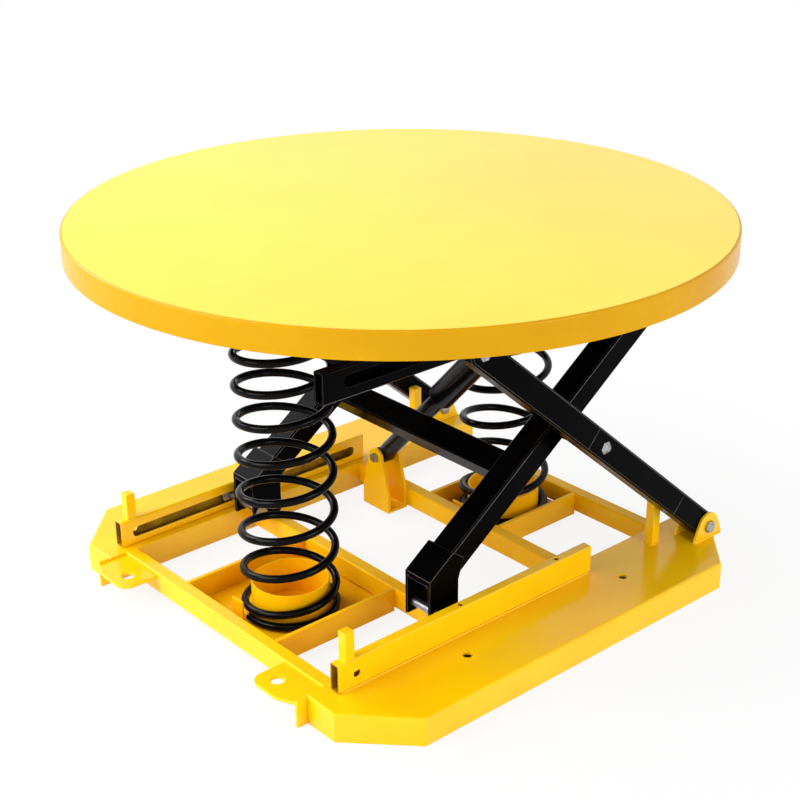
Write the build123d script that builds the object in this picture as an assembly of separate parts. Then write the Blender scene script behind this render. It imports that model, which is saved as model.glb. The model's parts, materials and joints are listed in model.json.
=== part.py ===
from build123d import *
import math
import os

# Spring-raised scissor lift table with a round turntable, shown fully raised.
# Millimetres. Z = 0 is the floor, X = Y = 0 is the turntable's centre.
# The legs' fixed pivots are at +X, the rollers run towards -X. Left is +Y, right is -Y.

# Turntable
table_radius = 555.0
deck_sheet = 4.0
rim_height = 44.0
rim_edge_chamfer = 2.0
rib_count = 8
rib_thickness = 5.0
rib_height = 36.0
hub_ring_sheet = 4.0

# Turntable bearing: a lower and an upper race with balls between them
track_radius = 225.0
race_width = 50.0
race_height = 12.0
ball_radius = 6.0
ball_count = 8
race_gap = 5.0
bearing_plate_sheet = 6.0
bearing_plate_overhang = 8.0

# Scissor: both leg pairs turn about one centre, and their pivots lie at one height
fixed_pivot_x = 403.0
centre_x = 120.0
centre_height = 316.0
leg_depth = 45.0
leg_wall = 4.0
leg_corner = 3.0
leg_end_setback = 2.0
outer_leg_width = 38.0
outer_leg_inner_face = 331.0
inner_leg_width = 50.0
inner_leg_inner_face = 215.0
inner_leg_drop_angle = 5.0
bracket_sheet = 5.0
bracket_front = 15.0
bracket_back = 48.0
bracket_below = 17.0
bracket_nose = 12.0
bracket_bottom_corner = 6.0
axle_radius = 7.5
centre_pin_radius = 8.0
spacer_wall = 6.0
fit_clearance = 0.05
side_gap = 0.5
head_radius = 12.0
head_height = 6.0

# Cross tubes between the inner legs, the lower one by its distance from the centre pivot,
# the upper one by its distance from the legs' upper ends
lower_tube_distance = 106.0
upper_tube_setback = 40.0
lower_tube_size = 45.0
upper_tube_size = 36.0

# Roller rails, alike on the base and on the top frame
rail_outer_face = 316.0
rail_width = 20.0
rail_height = 50.0
rail_wall = 3.0
rail_corner = 2.5
rail_front_x = -406.0
rail_rear_x = 155.0
rail_slot_margin = 24.0
rail_slot_clearance = 2.5
rail_top_holes_x = (-145.0, 78.0)
rail_top_hole_radius = 3.5
rail_side_hole_x = -369.0
rail_side_hole_radius = 7.0
roller_radius = 19.7
roller_gap = 0.3
roller_width = 11.0

# Base frame
base_height = 50.0
base_sheet = 5.0
plate_half_length = 443.5
plate_outer_y = 449.0
plate_inner_y = 281.0
plate_chamfer_x = 95.5
plate_chamfer_y = 98.6
member_width = 25.0
member_depth = 38.0
member_wall = 3.0
member_corner = 2.0
front_member_x = -397.0
inner_front_member_x = -123.5
inner_rear_member_x = 142.5
rear_member_x = 366.0
floor_hole_x = 184.0
floor_hole_y = 365.0
floor_hole_radius = 6.5

# Spring pockets
pocket_bar_width = 8.0
front_pocket_y = (-130.0, 120.0)
rear_pocket_y = (-92.0, 92.0)
pocket_floor_sheet = 5.0
pocket_floor_z = 5.0
cup_radius = 67.0
cup_wall = 4.0
cup_height = 62.0
tab_sheet = 4.0
tab_width = 28.0
tab_height = 40.0
tab_offset_y = 30.0
tab_gap = 2.0

# Springs
front_spring_x = -266.0
front_spring_y = -14.0
rear_spring_x = 253.0
rear_spring_y = -2.0
spring_mean_radius = 78.0
spring_wire_radius = 7.0
spring_turns = 9.0
spring_closed_turns = 0.75
spring_opening_turns = 0.5
spring_coil_gap = 0.6
spring_stations = 20
spring_wire_sides = 8
spring_start_angle = -45.0
spring_end_gap = 0.3

# Stop posts that the lowered top frame rests on
post_size = 18.0
post_top = 149.5
front_post_x = -381.0
rear_post_x = 314.0
rear_post_y = 318.0

# Pivot ears on the base and on the top frame
ear_sheet = 5.0
ear_radius = 26.0
ear_foot_width = 76.0
top_ear_radius = 22.0
top_ear_gap = 2.0

# Tie-down lugs on the front member
lug_sheet = 6.0
lug_top = 45.0
lug_inner_y = 181.0
lug_bend_y = 250.0
lug_reach = 68.0
lug_corner = 22.0
lug_hole_y = 215.0
lug_hole_radius = 11.0
lug_hole_offset = 37.0
lug_gusset_reach = 20.0

# Top frame
top_frame_front_x = -420.0
top_front_member_x = -352.0
top_frame_rear_x = 450.0
top_member_width = 25.0
beam_depth = 25.0
spring_beam_width = 50.0
ring_beam_width = 40.0
front_ring_beam_x = -120.0
rear_ring_beam_x = 110.0
cap_plate_sheet = 6.0
cap_plate_radius = 90.0
cap_spigot_height = 24.0

# Damper: a slanting telescopic strut in a plane across the table
damper_foot_y = 172.0
damper_foot_z = 118.0
damper_head_y = -140.0
damper_angle = 47.0
damper_eye_radius = 16.0
damper_eye_width = 24.0
damper_pin_radius = 6.0
damper_head_radius = 10.0
damper_tube_radius = 16.5
damper_tube_wall = 2.5
damper_tube_length = 280.0
damper_rod_radius = 7.0
damper_piston_length = 22.0
damper_cover_radius = 25.0
damper_cover_wall = 2.5
damper_cover_start = 233.0
clevis_sheet = 6.0
clevis_inner_width = 36.0
clevis_foot_width = 74.0
clevis_foot_z = 10.0
hanger_inner_width = 56.0
hanger_plate_length = 80.0
hanger_eye_radius = 18.0
hanger_pin_gap = 2.0
clevis_eye_margin = 2.0

# Worked out from the above
pivot_height = base_height + rail_wall + roller_gap + roller_radius
race_inner_radius = track_radius - race_width / 2
race_outer_radius = track_radius + race_width / 2
half_span = fixed_pivot_x - centre_x
half_rise = centre_height - pivot_height
half_leg = math.hypot(half_span, half_rise)
raised_angle = math.degrees(math.atan2(half_rise, half_span))
top_pivot_height = centre_height + half_rise
roller_x = centre_x - half_span
top_rail_top = top_pivot_height + roller_radius + roller_gap + rail_wall
top_rail_bottom = top_rail_top - rail_height
beam_bottom = top_rail_top - beam_depth
rail_inner_face = rail_outer_face - rail_width
member_bottom = base_height - member_depth
outer_leg_outer_face = outer_leg_inner_face + outer_leg_width
inner_leg_outer_face = inner_leg_inner_face + inner_leg_width
inner_leg_angle = raised_angle - inner_leg_drop_angle
leg_reach = half_leg * math.cos(math.radians(inner_leg_drop_angle)) - leg_end_setback
lower_race_bottom = top_rail_top + bearing_plate_sheet
upper_race_bottom = lower_race_bottom + race_height + race_gap
hub_ring_bottom = upper_race_bottom + race_height
rib_bottom = hub_ring_bottom + hub_ring_sheet
deck_bottom = rib_bottom + rib_height
table_top = deck_bottom + deck_sheet
rim_bottom = table_top - rim_height
spring_bottom = pocket_floor_z + pocket_floor_sheet
spring_top = beam_bottom - cap_plate_sheet
damper_x = inner_rear_member_x - member_width / 2 - clevis_sheet - clevis_inner_width / 2
damper_head_z = damper_foot_z + (damper_foot_y - damper_head_y) * math.tan(math.radians(damper_angle))
damper_length = math.hypot(damper_foot_y - damper_head_y, damper_head_z - damper_foot_z)


def bar(x0, x1, y0, y1, z0, z1):
    middle = Pos((x0 + x1) / 2, (y0 + y1) / 2, (z0 + z1) / 2)
    return middle * Box(x1 - x0, y1 - y0, z1 - z0)


def other_side(shape):
    return shape.mirror(Plane.XZ)


def along_y(radius, y0, y1, x, z):
    return Pos(x, (y0 + y1) / 2, z) * Rot(X=90) * Cylinder(radius, y1 - y0)


def along_x(radius, x0, x1, y, z):
    return Pos((x0 + x1) / 2, y, z) * Rot(Y=90) * Cylinder(radius, x1 - x0)


def hex_along_y(radius, y0, y1, x, z):
    prism = extrude(RegularPolygon(radius, 6), amount=(y1 - y0) / 2, both=True)
    return Pos(x, (y0 + y1) / 2, z) * Rot(X=90) * prism


def hex_along_x(radius, x0, x1, y, z):
    prism = extrude(RegularPolygon(radius, 6), amount=(x1 - x0) / 2, both=True)
    return Pos((x0 + x1) / 2, y, z) * Rot(Y=90) * prism


def box_tube(x, y, z, wall, corner, axis):
    """A rectangular tube along X or Y, its long outer edges broken. x, y and z are (low, high)."""
    outer = bar(x[0], x[1], y[0], y[1], z[0], z[1])
    outer = chamfer(outer.edges().filter_by(axis), corner)
    in_x = 1 if axis == Axis.X else -wall
    in_y = 1 if axis == Axis.Y else -wall
    return outer - bar(x[0] - in_x, x[1] + in_x, y[0] - in_y, y[1] + in_y, z[0] + wall, z[1] - wall)


def upright(radius, z0, z1, x=0.0, y=0.0):
    return Pos(x, y, (z0 + z1) / 2) * Cylinder(radius, z1 - z0)


def ring(inner, outer, z0, z1, x=0.0, y=0.0):
    return upright(outer, z0, z1, x, y) - upright(inner, z0 - 1, z1 + 1, x, y)


def side_profile(points, y0, y1):
    """A closed outline in the XZ plane, made solid from y0 to y1."""
    face = make_face(Polyline(*[(x, y1, z) for x, z in points], close=True))
    return extrude(face, amount=y1 - y0, dir=(0, -1, 0))


def cross_profile(points, x0, x1):
    """A closed outline in the YZ plane, made solid from x0 to x1."""
    face = make_face(Polyline(*[(x0, y, z) for y, z in points], close=True))
    return extrude(face, amount=x1 - x0, dir=(1, 0, 0))


def turned_about(shape, x, z, degrees):
    """The shape turned in the XZ plane, positive from +X towards +Z."""
    return Pos(x, 0, z) * Rot(Y=-degrees) * Pos(-x, 0, -z) * shape


# Turntable

def turntable_deck():
    deck = upright(table_radius, deck_bottom, table_top)
    return chamfer(deck.edges().sort_by(Axis.Z)[-1], rim_edge_chamfer)


def turntable_rim():
    return ring(table_radius - deck_sheet, table_radius, rim_bottom, deck_bottom)


def deck_ribs():
    inner = race_inner_radius
    outer = table_radius - deck_sheet
    reach = math.sqrt(outer**2 - (rib_thickness / 2) ** 2)
    rib = bar(inner, reach, -rib_thickness / 2, rib_thickness / 2, rib_bottom, deck_bottom)
    step = 360.0 / rib_count
    return [Rot(Z=step * (i + 0.5)) * rib for i in range(rib_count)]


def hub_ring():
    return ring(race_inner_radius, race_outer_radius, hub_ring_bottom, rib_bottom)


def race(bottom, ball_z):
    """A flat ring with a V groove whose two walls the balls run on."""
    reach = (ball_radius + fit_clearance) * math.sqrt(2)
    groove = Polyline((track_radius - reach, 0, ball_z), (track_radius, 0, ball_z - reach),
                      (track_radius + reach, 0, ball_z), (track_radius, 0, ball_z + reach), close=True)
    blank = ring(race_inner_radius, race_outer_radius, bottom, bottom + race_height)
    return blank - revolve(make_face(groove), Axis.Z)


def balls():
    middle = (lower_race_bottom + race_height + upper_race_bottom) / 2
    step = 360.0 / ball_count
    return [Rot(Z=step * i) * Pos(track_radius, 0, middle) * Sphere(ball_radius) for i in range(ball_count)]


# Base frame, the right side is made and mirrored

def plate_outline(inset):
    x = plate_half_length - inset
    inner = plate_inner_y + inset
    outer = plate_outer_y - inset
    cut_x = plate_chamfer_x - inset * 0.4
    cut_y = plate_chamfer_y - inset * 0.4
    points = [(-x, -inner), (-x, -outer + cut_y), (-x + cut_x, -outer)]
    points += [(x - cut_x, -outer), (x, -outer + cut_y), (x, -inner)]
    return make_face(Polyline(*points, close=True))


def side_plate():
    shell = extrude(plate_outline(0), amount=base_height)
    shell -= extrude(plate_outline(base_sheet), amount=base_height - base_sheet)
    for x in (-floor_hole_x, floor_hole_x):
        shell -= upright(floor_hole_radius, 0, base_height + 1, x, -floor_hole_y)
    return shell


def rail_tube(x0, x1, z0):
    return box_tube((x0, x1), (-rail_outer_face, -rail_inner_face), (z0, z0 + rail_height),
                    rail_wall, rail_corner, Axis.X)


def rail_slot(x0, x1, y0, y1, z):
    half = axle_radius + rail_slot_clearance
    slot = bar(x0 + half, x1 - half, y0, y1, z - half, z + half)
    for x in (x0 + half, x1 - half):
        slot += along_y(half, y0, y1, x, z)
    return slot


def base_rail():
    rail = rail_tube(rail_front_x, rail_rear_x, base_height)
    inner = -rail_inner_face
    outer = -rail_outer_face
    top = base_height + rail_height
    rail -= rail_slot(rail_front_x + rail_slot_margin, rail_rear_x - rail_slot_margin,
                      inner - rail_wall - 1, inner + 1, pivot_height)
    for x in rail_top_holes_x:
        rail -= upright(rail_top_hole_radius, top - rail_wall - 1, top + 1, x, (inner + outer) / 2)
    wall_end = outer + rail_wall + 1
    return rail - along_y(rail_side_hole_radius, outer - 1, wall_end, rail_side_hole_x, pivot_height)


def frame_member(x):
    half = member_width / 2
    return box_tube((x - half, x + half), (-plate_inner_y, plate_inner_y), (member_bottom, base_height),
                    member_wall, member_corner, Axis.Y)


def pocket_bars(x0, x1, sides):
    half = pocket_bar_width / 2
    start = x0 + member_width / 2
    end = x1 - member_width / 2
    return [bar(start, end, y - half, y + half, member_bottom, base_height) for y in sides]


def pocket_floor(x0, x1, sides):
    half = pocket_bar_width / 2
    top = pocket_floor_z + pocket_floor_sheet
    return bar(x0 - member_width / 2, x1 + member_width / 2, sides[0] - half, sides[1] + half,
               pocket_floor_z, top)


def spring_cup(x, y):
    return ring(cup_radius - cup_wall, cup_radius, spring_bottom, spring_bottom + cup_height, x, y)


def spring_tab(x, y):
    """The upright tab on the pocket floor that keeps the spring's foot in place."""
    outer = x - spring_mean_radius - spring_wire_radius - tab_gap
    middle = y + tab_offset_y
    return bar(outer - tab_sheet, outer, middle - tab_width / 2, middle + tab_width / 2,
               spring_bottom, spring_bottom + tab_height)


def coil_pitch(turn):
    """Rise per turn: closed coils at both ends, opening over part of a turn to the open coils' pitch."""
    closed = 2 * spring_wire_radius + spring_coil_gap
    height = spring_top - spring_bottom - 2 * (spring_wire_radius + spring_end_gap)
    ends = 2 * spring_closed_turns + spring_opening_turns
    opened = (height - closed * ends) / (spring_turns - ends)
    from_end = min(turn, spring_turns - turn)
    share = min(1.0, max(0.0, (from_end - spring_closed_turns) / spring_opening_turns))
    return closed + (opened - closed) * share


def spring(x, y):
    """Wire of a many-sided section, lofted straight from station to station round the coil."""
    stations = round(spring_turns * spring_stations)
    step = spring_turns / stations
    z = spring_bottom + spring_wire_radius + spring_end_gap
    sections = []
    for i in range(stations + 1):
        angle = math.radians(spring_start_angle) + 2 * math.pi * i * step
        along = (math.cos(angle), math.sin(angle), 0)
        rise = coil_pitch(i * step) / (2 * math.pi)
        ahead = (-spring_mean_radius * along[1], spring_mean_radius * along[0], rise)
        middle = (x + spring_mean_radius * along[0], y + spring_mean_radius * along[1], z)
        sections.append(Plane(middle, along, ahead) * RegularPolygon(spring_wire_radius, spring_wire_sides))
        z += coil_pitch((i + 0.5) * step) * step
    return loft(sections, ruled=True)


def post(x, y, foot_z):
    half = post_size / 2
    return bar(x - half, x + half, y - half, y + half, foot_z, post_top)


def pivot_ear(y0, y1):
    """A plate with a round head, its two sides running down from the head to a wider foot."""
    foot = ear_foot_width / 2
    height = pivot_height - base_height
    touch = math.acos(ear_radius / math.hypot(foot, height)) - math.atan2(height, foot)
    x = ear_radius * math.cos(touch)
    z = pivot_height + ear_radius * math.sin(touch)
    points = [(fixed_pivot_x - foot, base_height), (fixed_pivot_x + foot, base_height)]
    points += [(fixed_pivot_x + x, z), (fixed_pivot_x - x, z)]
    shape = along_y(ear_radius, y0, y1, fixed_pivot_x, pivot_height) + side_profile(points, y0, y1)
    shape -= bar(fixed_pivot_x - foot - 1, fixed_pivot_x + foot + 1, y0 - 1, y1 + 1, 0, base_height)
    return shape - along_y(axle_radius, y0 - 1, y1 + 1, fixed_pivot_x, pivot_height)


def pivot_ears():
    outer = -outer_leg_outer_face - side_gap
    inner = -outer_leg_inner_face + side_gap
    return [pivot_ear(outer - ear_sheet, outer), pivot_ear(inner, inner + ear_sheet)]


def pivot_pin():
    outer = -outer_leg_outer_face - side_gap - ear_sheet
    inner = -outer_leg_inner_face + side_gap + ear_sheet
    pin = along_y(axle_radius, outer - head_height, inner + head_height, fixed_pivot_x, pivot_height)
    pin += hex_along_y(head_radius, outer - head_height, outer, fixed_pivot_x, pivot_height)
    return pin + hex_along_y(head_radius, inner, inner + head_height, fixed_pivot_x, pivot_height)


def tie_down_lug():
    """A flat lug between the front member and the side plate's inner wall, which runs on as a gusset."""
    front = front_member_x - member_width / 2
    tip = front - lug_reach
    gusset_tip = -plate_half_length - lug_gusset_reach
    outline = Polyline((front, -lug_inner_y), (tip, -lug_inner_y), (tip, -lug_bend_y),
                       (gusset_tip, -plate_inner_y), (front, -plate_inner_y), close=True)
    plate = Pos(0, 0, lug_top - lug_sheet) * extrude(make_face(outline), amount=lug_sheet)
    plate = fillet(plate.edges().filter_by(Axis.Z).group_by(Axis.X)[0], lug_corner)
    plate -= upright(lug_hole_radius, 0, lug_top + 1, front - lug_hole_offset, -lug_hole_y)
    wall = bar(gusset_tip, -plate_half_length, -plate_inner_y - base_sheet, -plate_inner_y, 0, base_height)
    return plate + wall


def damper_clevis():
    inner = clevis_inner_width / 2
    middle = damper_foot_y
    half = clevis_foot_width / 2
    top = damper_eye_radius + clevis_eye_margin
    ears = []
    for x0 in (damper_x - inner - clevis_sheet, damper_x + inner):
        x1 = x0 + clevis_sheet
        points = [(middle - half, clevis_foot_z), (middle + half, clevis_foot_z)]
        points += [(middle + half, base_height), (middle + top, damper_foot_z)]
        points += [(middle - top, damper_foot_z), (middle - half, base_height)]
        ear = cross_profile(points, x0, x1) + along_x(top, x0, x1, middle, damper_foot_z)
        ears.append(ear - along_x(damper_pin_radius, x0 - 1, x1 + 1, middle, damper_foot_z))
    floor = bar(damper_x - inner, damper_x + inner, middle - half, middle + half,
                clevis_foot_z, clevis_foot_z + clevis_sheet)
    return ears[0] + ears[1] + floor


def damper_pin(width, y, z):
    half = width / 2 + clevis_sheet
    pin = along_x(damper_pin_radius, damper_x - half - head_height, damper_x + half + head_height, y, z)
    pin += hex_along_x(damper_head_radius, damper_x - half - head_height, damper_x - half, y, z)
    return pin + hex_along_x(damper_head_radius, damper_x + half, damper_x + half + head_height, y, z)


# Legs

def leg_tube(start, end, y0, y1, round_ends):
    """A rectangular tube between two points, closed at both ends, the ends round or square."""
    length = math.hypot(end[0] - start[0], end[1] - start[1])
    half = leg_depth / 2
    tube = bar(0, length, y0, y1, -half, half)
    if round_ends:
        tube += along_y(half, y0, y1, 0, 0) + along_y(half, y0, y1, length, 0)
    outlines = tube.faces().sort_by(Axis.Y)
    tube = chamfer(outlines[0].edges() + outlines[-1].edges(), leg_corner)
    tube -= bar(leg_wall, length - leg_wall, y0 + leg_wall, y1 - leg_wall, -half + leg_wall, half - leg_wall)
    angle = math.degrees(math.atan2(end[1] - start[1], end[0] - start[0]))
    return Pos(start[0], 0, start[1]) * Rot(Y=-angle) * tube


def bore_sleeve(radius, y0, y1, x, z):
    return along_y(radius + 5, y0, y1, x, z)


def outer_leg():
    y0 = -outer_leg_outer_face
    y1 = -outer_leg_inner_face
    leg = leg_tube((fixed_pivot_x, pivot_height), (roller_x, top_pivot_height), y0, y1, True)
    for x, z, r in ((fixed_pivot_x, pivot_height, axle_radius), (roller_x, top_pivot_height, axle_radius),
                    (centre_x, centre_height, centre_pin_radius)):
        leg += bore_sleeve(r, y0, y1, x, z)
        leg -= along_y(r + fit_clearance, y0 - 1, y1 + 1, x, z)
    return leg


def inner_leg_ends():
    """The inner leg tube's two end points, on a line through the centre pivot."""
    dx = leg_reach * math.cos(math.radians(inner_leg_angle))
    dz = leg_reach * math.sin(math.radians(inner_leg_angle))
    return (centre_x - dx, centre_height - dz), (centre_x + dx, centre_height + dz)


def inner_leg():
    y0 = -inner_leg_outer_face
    y1 = -inner_leg_inner_face
    low, high = inner_leg_ends()
    leg = leg_tube(low, high, y0, y1, False)
    leg += bore_sleeve(centre_pin_radius, y0, y1, centre_x, centre_height)
    return leg - along_y(centre_pin_radius + fit_clearance, y0 - 1, y1 + 1, centre_x, centre_height)


def foot_bracket():
    """The bent cap on the lower end of an inner leg that drops to the roller axle."""
    slope = math.tan(math.radians(inner_leg_angle))
    rise = half_leg * math.sin(math.radians(inner_leg_drop_angle)) / math.cos(math.radians(inner_leg_angle))
    half = leg_depth / 2 / math.cos(math.radians(inner_leg_angle))
    front = -bracket_front
    back = bracket_back
    low = -bracket_below
    nose = bracket_nose
    top = bracket_sheet / math.cos(math.radians(inner_leg_angle))

    def over(x):
        return rise + half + slope * x

    def at(points):
        return [(roller_x + x, pivot_height + z) for x, z in points]

    cheek = at([(front, low), (back - bracket_bottom_corner, low), (back, low + bracket_bottom_corner),
                (back, over(back) - 2 * half), (back + nose, over(back + nose) - half),
                (back - nose, over(back - nose) + top), (front, over(front) + top)])
    web = at([(front, over(front)), (back - nose, over(back - nose)), (back - nose, over(back - nose) + top),
              (front, over(front) + top)])
    y0 = -inner_leg_outer_face
    y1 = -inner_leg_inner_face
    bracket = side_profile(cheek, y0 - bracket_sheet, y0) + side_profile(cheek, y1, y1 + bracket_sheet)
    bracket += side_profile(web, y0 - bracket_sheet, y1 + bracket_sheet)
    reach = bracket_sheet + 1
    return bracket - along_y(axle_radius, y0 - reach, y1 + reach, roller_x, pivot_height)


def head_bracket():
    return turned_about(foot_bracket(), centre_x, centre_height, 180)


def cross_tube(distance, size, y):
    half = size / 2
    tube = box_tube((distance - half, distance + half), (-y, y), (-half, half), leg_wall, leg_corner, Axis.Y)
    return Pos(centre_x, 0, centre_height) * Rot(Y=-inner_leg_angle) * tube


def roller(x, z):
    inner = rail_inner_face + (rail_width - roller_width) / 2
    blank = along_y(roller_radius, -inner - roller_width, -inner, x, z)
    return blank - along_y(axle_radius + fit_clearance, -inner - roller_width - 1, -inner + 1, x, z)


def base_axle():
    tip = rail_inner_face + (rail_width + roller_width) / 2 + 0.6
    start = inner_leg_inner_face - bracket_sheet
    axle = along_y(axle_radius, -tip, -start + head_height, roller_x, pivot_height)
    return axle + hex_along_y(head_radius, -start, -start + head_height, roller_x, pivot_height)


def top_axle():
    tip = rail_inner_face + (rail_width - roller_width) / 2 - 0.6
    start = outer_leg_outer_face
    axle = along_y(axle_radius, -start - head_height, -tip, roller_x, top_pivot_height)
    return axle + hex_along_y(head_radius, -start - head_height, -start, roller_x, top_pivot_height)


def centre_pin():
    inner = inner_leg_inner_face
    outer = outer_leg_outer_face
    pin = along_y(centre_pin_radius, -outer - head_height, -inner + head_height, centre_x, centre_height)
    pin += hex_along_y(head_radius, -outer - head_height, -outer, centre_x, centre_height)
    return pin + hex_along_y(head_radius, -inner + side_gap, -inner + head_height, centre_x, centre_height)


def centre_spacer():
    y0 = -outer_leg_inner_face
    y1 = -inner_leg_outer_face - side_gap
    sleeve = along_y(centre_pin_radius + spacer_wall, y0, y1, centre_x, centre_height)
    return sleeve - along_y(centre_pin_radius, y0 - 1, y1 + 1, centre_x, centre_height)


# Top frame

def top_rail():
    rail = rail_tube(top_frame_front_x, top_frame_rear_x, top_rail_bottom)
    outer = -rail_outer_face
    return rail - rail_slot(rail_front_x + rail_slot_margin, rail_rear_x - rail_slot_margin,
                            outer - 1, outer + rail_wall + 1, top_pivot_height)


def top_member(x0, width, bottom):
    y = rail_inner_face
    return box_tube((x0, x0 + width), (-y, y), (bottom, top_rail_top), member_wall, member_corner, Axis.Y)


def top_ears():
    ears = []
    outer = -inner_leg_outer_face - bracket_sheet - top_ear_gap
    inner = -inner_leg_inner_face + bracket_sheet + top_ear_gap
    rear = top_frame_rear_x - top_member_width
    for y0, y1 in ((outer - ear_sheet, outer), (inner, inner + ear_sheet)):
        front = fixed_pivot_x - top_ear_radius
        points = [(front, top_pivot_height), (front, top_rail_top), (rear, top_rail_top)]
        points += [(rear, top_rail_bottom), (fixed_pivot_x, top_pivot_height - top_ear_radius)]
        ear = side_profile(points, y0, y1)
        ear += along_y(top_ear_radius, y0, y1, fixed_pivot_x, top_pivot_height)
        ears.append(ear - along_y(axle_radius, y0 - 1, y1 + 1, fixed_pivot_x, top_pivot_height))
    return ears


def top_pivot_pin():
    outer = -inner_leg_outer_face - bracket_sheet - top_ear_gap - ear_sheet
    inner = -inner_leg_inner_face + bracket_sheet + top_ear_gap + ear_sheet
    radius = axle_radius - fit_clearance
    pin = along_y(radius, outer - head_height, inner + head_height, fixed_pivot_x, top_pivot_height)
    pin += hex_along_y(head_radius, outer - head_height, outer, fixed_pivot_x, top_pivot_height)
    return pin + hex_along_y(head_radius, inner, inner + head_height, fixed_pivot_x, top_pivot_height)


def spring_cap(x, y):
    plate = upright(cap_plate_radius, spring_top, beam_bottom, x, y)
    return plate + ring(cup_radius - cup_wall, cup_radius, spring_top - cap_spigot_height, spring_top, x, y)


def bearing_plate():
    inner = race_inner_radius - bearing_plate_overhang
    outer = race_outer_radius + bearing_plate_overhang
    return ring(inner, outer, top_rail_top, lower_race_bottom)


def damper_hanger():
    inner = hanger_inner_width / 2
    outer = inner + clevis_sheet
    y = damper_head_y
    foot = hanger_plate_length / 2
    eye = hanger_eye_radius
    plate_z = beam_bottom - clevis_sheet
    hanger = bar(damper_x - outer, damper_x + outer, y - foot, y + foot, plate_z, beam_bottom)
    for x0 in (damper_x - outer, damper_x + inner):
        x1 = x0 + clevis_sheet
        points = [(y - foot, beam_bottom), (y + foot, beam_bottom)]
        points += [(y + eye, damper_head_z), (y - eye, damper_head_z)]
        hanger += cross_profile(points, x0, x1) + along_x(eye, x0, x1, y, damper_head_z)
    return hanger


# Damper, drawn along +X from its foot pivot and then set in place

def set_damper(shape):
    lean = Rot(Z=-90) * Rot(Y=-damper_angle)
    return Pos(damper_x, damper_foot_y, damper_foot_z) * lean * shape


def axial(radius, start, end):
    return Pos((start + end) / 2, 0, 0) * Rot(Y=90) * Cylinder(radius, end - start)


def damper_eye(at_x, bore):
    half = damper_eye_width / 2
    return along_y(damper_eye_radius, -half, half, at_x, 0) - along_y(bore, -half - 1, half + 1, at_x, 0)


def damper_body():
    start = damper_eye_radius - 2
    tube = axial(damper_tube_radius, start, damper_tube_length)
    tube += along_y(damper_eye_radius, -damper_eye_width / 2, damper_eye_width / 2, 0, 0)
    tube -= axial(damper_tube_radius - damper_tube_wall, start + 12, damper_tube_length - 12)
    tube -= axial(damper_rod_radius + fit_clearance, damper_tube_length - 13, damper_tube_length + 1)
    half = damper_eye_width / 2
    return set_damper(tube - along_y(damper_pin_radius + fit_clearance, -half - 1, half + 1, 0, 0))


def damper_rod():
    end = damper_length
    piston = damper_tube_length - 14 - damper_piston_length
    rod = axial(damper_rod_radius, piston, end - damper_eye_radius + 2)
    rod += axial(damper_tube_radius - damper_tube_wall - 0.2, piston, piston + damper_piston_length)
    rod += along_y(damper_eye_radius, -damper_eye_width / 2, damper_eye_width / 2, end, 0)
    half = damper_eye_width / 2
    return set_damper(rod - along_y(damper_pin_radius, -half - 1, half + 1, end, 0))


def damper_cover():
    end = damper_length - damper_eye_radius - 6
    cover = axial(damper_cover_radius, damper_cover_start, end)
    cover -= axial(damper_cover_radius - damper_cover_wall, damper_cover_start - 1, end - 6)
    return set_damper(cover - axial(damper_rod_radius, end - 7, end + 1))


def damper_head_bush():
    half = hanger_inner_width / 2 - hanger_pin_gap
    return set_damper(along_y(damper_pin_radius, -half, half, damper_length, 0))


def pair(shape):
    """The right-hand piece or pieces and their left-hand mirror images."""
    pieces = shape if isinstance(shape, list) else [shape]
    return pieces + [other_side(piece) for piece in pieces]


parts = {}


def add(name, shape):
    parts[name] = shape


def add_sides(name, shape):
    pieces = shape if isinstance(shape, list) else [shape]
    add(name + "_right", pieces)
    add(name + "_left", [other_side(piece) for piece in pieces])


add("turntable_deck", turntable_deck())
add("turntable_rim", turntable_rim())
add("deck_ribs", deck_ribs())
add("hub_ring", hub_ring())
ball_height = (lower_race_bottom + race_height + upper_race_bottom) / 2
add("upper_race", race(upper_race_bottom, ball_height))
add("lower_race", race(lower_race_bottom, ball_height))
add("bearing_balls", balls())
add("bearing_plate", bearing_plate())

add_sides("side_plate", side_plate())
add("base_rails", pair(base_rail()))
add("front_member", frame_member(front_member_x))
add("inner_front_member", frame_member(inner_front_member_x))
add("inner_rear_member", frame_member(inner_rear_member_x))
add("rear_member", frame_member(rear_member_x))
pockets = ((front_member_x, inner_front_member_x, front_pocket_y),
           (inner_rear_member_x, rear_member_x, rear_pocket_y))
add("front_pocket_bars", pocket_bars(*pockets[0]))
add("rear_pocket_bars", pocket_bars(*pockets[1]))
add("pocket_floors", [pocket_floor(*pocket) for pocket in pockets])
spring_places = ((front_spring_x, front_spring_y), (rear_spring_x, rear_spring_y))
cups = [spring_cup(x, y) for x, y in spring_places]
add("spring_cups", cups + [spring_tab(x, y) for x, y in spring_places])
add("front_spring", spring(front_spring_x, front_spring_y))
add("rear_spring", spring(rear_spring_x, rear_spring_y))
rail_middle = -(rail_outer_face + rail_inner_face) / 2
add("front_stop_posts", pair(post(front_post_x, rail_middle, base_height + rail_height)))
add("rear_stop_posts", pair(post(rear_post_x, -rear_post_y, base_height)))
add("tie_down_lugs", pair(tie_down_lug()))
add("pivot_ears", pair(pivot_ears()))
add("leg_pivot_pins", pair(pivot_pin()))
add("damper_clevis", damper_clevis())
add("damper_foot_pin", damper_pin(clevis_inner_width, damper_foot_y, damper_foot_z))

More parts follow.
